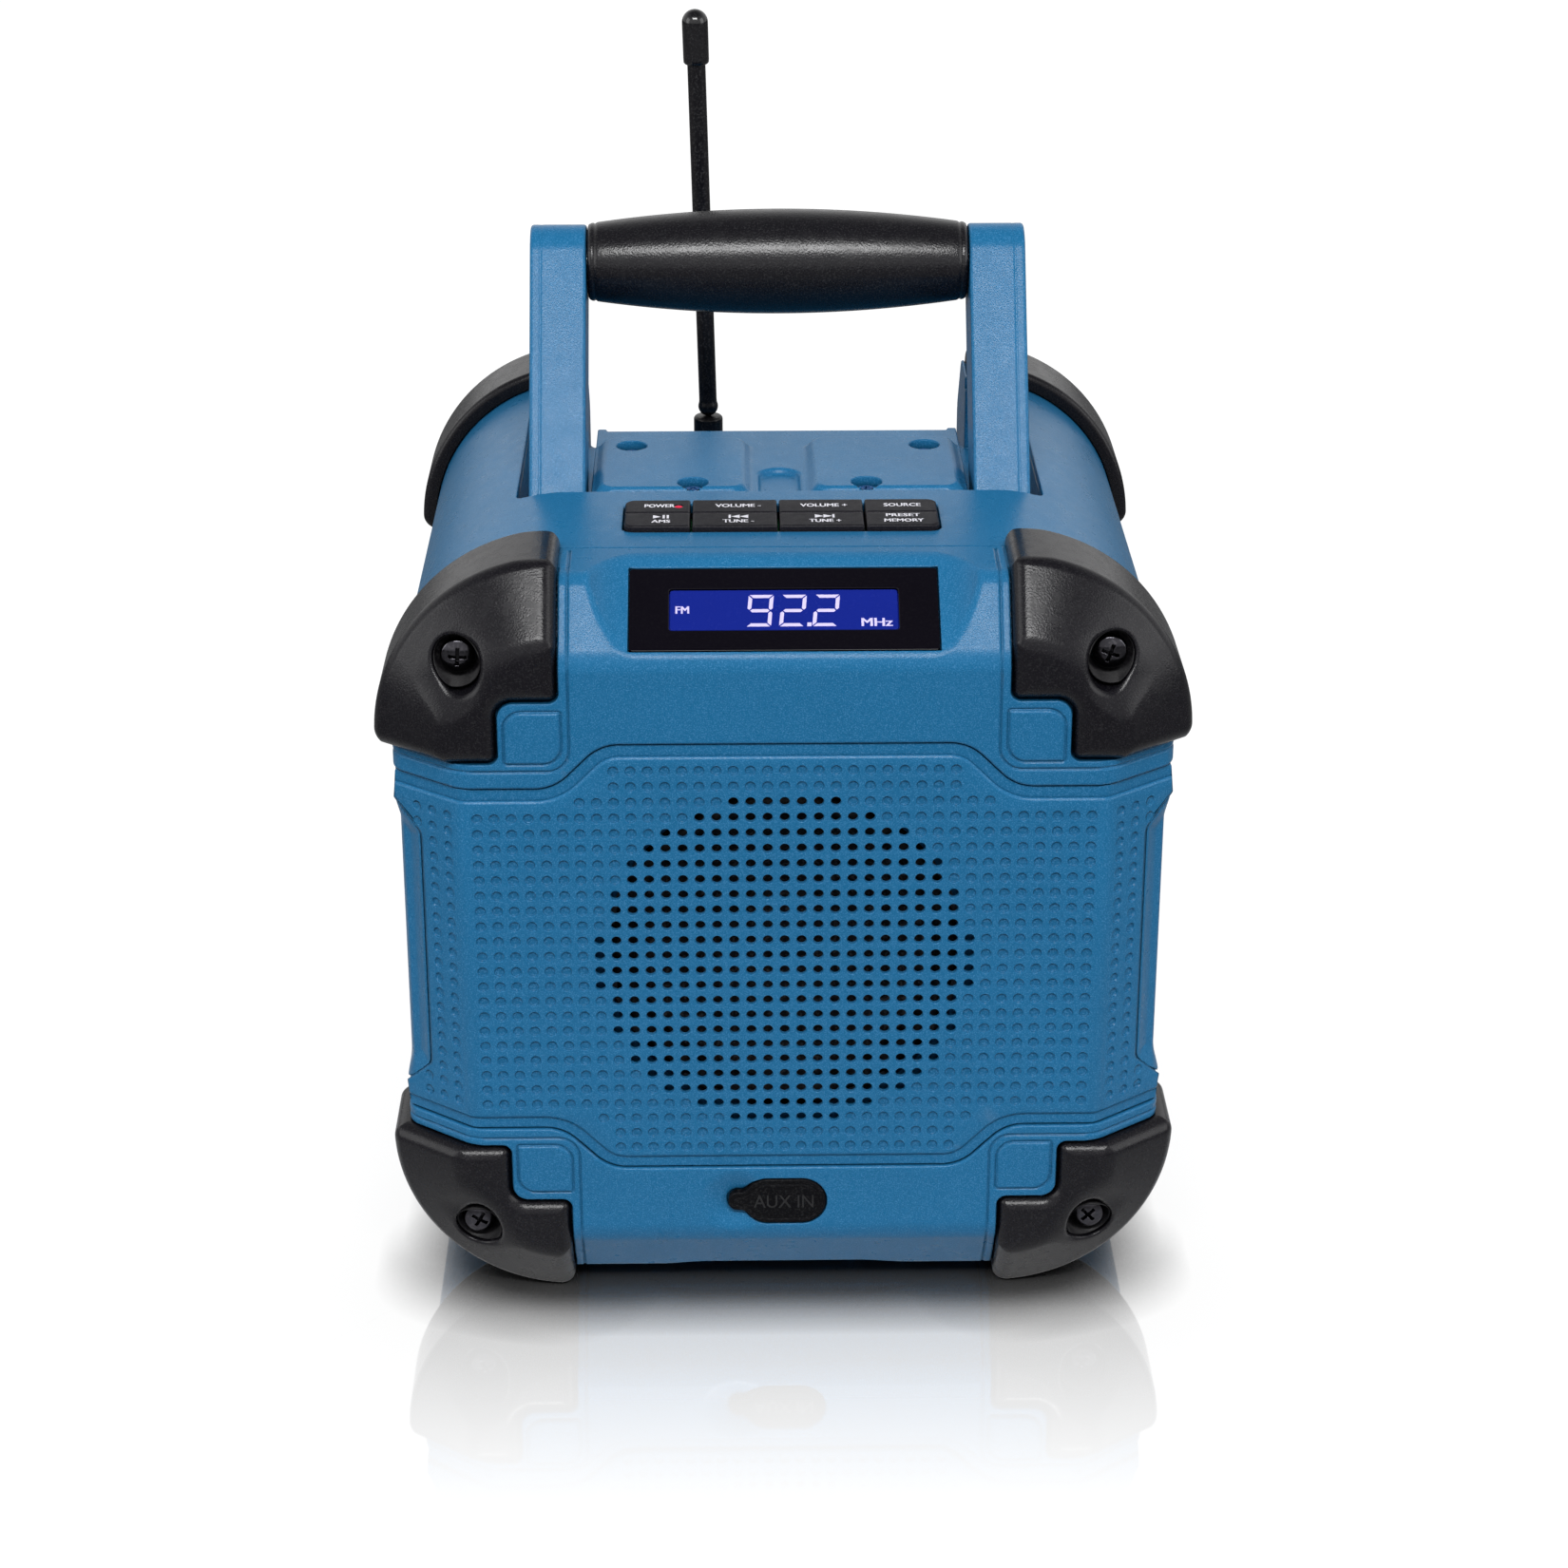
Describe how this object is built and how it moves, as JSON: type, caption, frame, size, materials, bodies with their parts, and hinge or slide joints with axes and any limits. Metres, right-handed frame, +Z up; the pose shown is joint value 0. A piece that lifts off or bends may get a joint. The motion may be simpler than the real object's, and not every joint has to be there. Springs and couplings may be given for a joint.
{
  "type": "jobsite radio",
  "caption": "Rugged portable radio: boxy blue casing, rubber corner bumpers, folding carry handle, sloped display, keys on top, rubber antenna, round front speaker field and rear battery door.",
  "frame": {"origin": "on the resting surface, under the middle of the radio", "axes": "+X to the right seen from the front, -Y out of the front face, +Z up"},
  "size_m": [0.2168, 0.222, 0.3234],
  "materials": {
    "blue_plastic": "fine moulded grain",
    "seal_rubber": "satin",
    "bumper_rubber": "fine moulded grain",
    "screw_steel": "machined",
    "plain_steel": "ground",
    "grip_rubber": "satin",
    "key_rubber": "satin",
    "red_lens": "gloss",
    "circuit_board": "lacquered",
    "display_black": "polished",
    "display_blue": "polished",
    "flap_rubber": "satin",
    "jack_metal": "plated",
    "antenna_rubber": "satin",
    "basket_metal": "satin paint",
    "surround_rubber": "satin",
    "paper_cone": "coated",
    "component_metal": "extruded",
    "black_plastic": "plain moulded",
    "battery_jacket": "printed jacket without words"
  },
  "bodies": {
    "casing": {"front_bezel": "blue_plastic", "speaker_grille": "blue_plastic", "main_housing": "blue_plastic", "handle_tray": "blue_plastic", "rear_housing": "blue_plastic", "front_seal": "seal_rubber", "rear_seal": "seal_rubber", "bumper_front_top_left": "bumper_rubber", "bumper_front_top_right": "bumper_rubber", "bumper_front_bottom_left": "bumper_rubber", "bumper_front_bottom_right": "bumper_rubber", "bumper_rear_top_left": "bumper_rubber", "bumper_rear_top_right": "bumper_rubber", "bumper_rear_bottom_left": "bumper_rubber", "bumper_rear_bottom_right": "bumper_rubber", "bumper_screws": "screw_steel", "tray_screws": "screw_steel", "speaker_screws": "screw_steel", "board_screws": "screw_steel", "handle_pivot_left": "plain_steel", "handle_pivot_right": "plain_steel", "door_hinge_pin": "plain_steel", "battery_contacts": "plain_steel", "keypad_board": "circuit_board", "main_board": "circuit_board", "display_window": "display_black", "lcd_module": "display_blue", "aux_jack": "jack_metal", "dc_jack": "jack_metal", "antenna_socket": "jack_metal", "antenna_collar": "antenna_rubber", "speaker_basket": "basket_metal", "speaker_magnet": "basket_metal", "speaker_surround": "surround_rubber", "speaker_cone": "paper_cone", "speaker_dust_cap": "paper_cone", "board_parts": "component_metal", "battery_case": "black_plastic", "battery_cells": "battery_jacket"},
    "handle": {"handle_arm_left": "blue_plastic", "handle_arm_right": "blue_plastic", "handle_grip": "grip_rubber", "handle_rod": "plain_steel", "handle_bolts": "screw_steel"},
    "antenna": {"antenna_rod": "antenna_rubber", "antenna_tip": "antenna_rubber"},
    "key_power": {"key_power": "key_rubber", "power_led": "red_lens"},
    "key_volume_down": {"key_volume_down": "key_rubber"},
    "key_volume_up": {"key_volume_up": "key_rubber"},
    "key_source": {"key_source": "key_rubber"},
    "key_play": {"key_play": "key_rubber"},
    "key_tune_down": {"key_tune_down": "key_rubber"},
    "key_tune_up": {"key_tune_up": "key_rubber"},
    "key_memory": {"key_memory": "key_rubber"},
    "aux_flap": {"aux_flap": "flap_rubber"},
    "dc_flap": {"dc_flap": "flap_rubber"},
    "battery_door": {"battery_door": "blue_plastic"},
    "door_screw": {"door_screw": "screw_steel"}
  },
  "joints": [
    {"name": "handle_fold", "type": "hinge", "parent": "casing", "child": "handle", "pos_m": [0, -0.0185, 0.2038], "axis": [-1, 0, 0], "range_deg": [-33.6, 56.4]},
    {"name": "antenna_bend", "type": "hinge", "parent": "casing", "child": "antenna", "pos_m": [-0.0205, 0.085, 0.20165], "axis": [0, 1, 0], "range_deg": [-30, 30], "stiffness_Nm_per_rad": 0.2},
    {"name": "key_power_press", "type": "slide", "parent": "casing", "child": "key_power", "axis": [0, 0, -1], "range_m": [0, 0.0008], "stiffness_N_per_m": 1500, "springref_m": -0.0003},
    {"name": "key_volume_down_press", "type": "slide", "parent": "casing", "child": "key_volume_down", "axis": [0, 0, -1], "range_m": [0, 0.0008], "stiffness_N_per_m": 1500, "springref_m": -0.0003},
    {"name": "key_volume_up_press", "type": "slide", "parent": "casing", "child": "key_volume_up", "axis": [0, 0, -1], "range_m": [0, 0.0008], "stiffness_N_per_m": 1500, "springref_m": -0.0003},
    {"name": "key_source_press", "type": "slide", "parent": "casing", "child": "key_source", "axis": [0, 0, -1], "range_m": [0, 0.0008], "stiffness_N_per_m": 1500, "springref_m": -0.0003},
    {"name": "key_play_press", "type": "slide", "parent": "casing", "child": "key_play", "axis": [0, 0, -1], "range_m": [0, 0.0008], "stiffness_N_per_m": 1500, "springref_m": -0.0003},
    {"name": "key_tune_down_press", "type": "slide", "parent": "casing", "child": "key_tune_down", "axis": [0, 0, -1], "range_m": [0, 0.0008], "stiffness_N_per_m": 1500, "springref_m": -0.0003},
    {"name": "key_tune_up_press", "type": "slide", "parent": "casing", "child": "key_tune_up", "axis": [0, 0, -1], "range_m": [0, 0.0008], "stiffness_N_per_m": 1500, "springref_m": -0.0003},
    {"name": "key_memory_press", "type": "slide", "parent": "casing", "child": "key_memory", "axis": [0, 0, -1], "range_m": [0, 0.0008], "stiffness_N_per_m": 1500, "springref_m": -0.0003},
    {"name": "aux_flap_open", "type": "hinge", "parent": "casing", "child": "aux_flap", "pos_m": [0.0114, -0.1094, 0.0338], "axis": [0, 0, 1], "range_deg": [0, 100]},
    {"name": "dc_flap_open", "type": "hinge", "parent": "casing", "child": "dc_flap", "pos_m": [0.0454, 0.1094, 0.1458], "axis": [0, 0, -1], "range_deg": [0, 100]},
    {"name": "battery_door_open", "type": "hinge", "parent": "casing", "child": "battery_door", "pos_m": [0, 0.1064, 0.039], "axis": [-1, 0, 0], "range_deg": [0, 90]},
    {"name": "door_screw_turn", "type": "hinge", "parent": "battery_door", "child": "door_screw", "pos_m": [0, 0.1088, 0.1293], "axis": [0, 1, 0], "range_deg": [0, 90]}
  ]
}
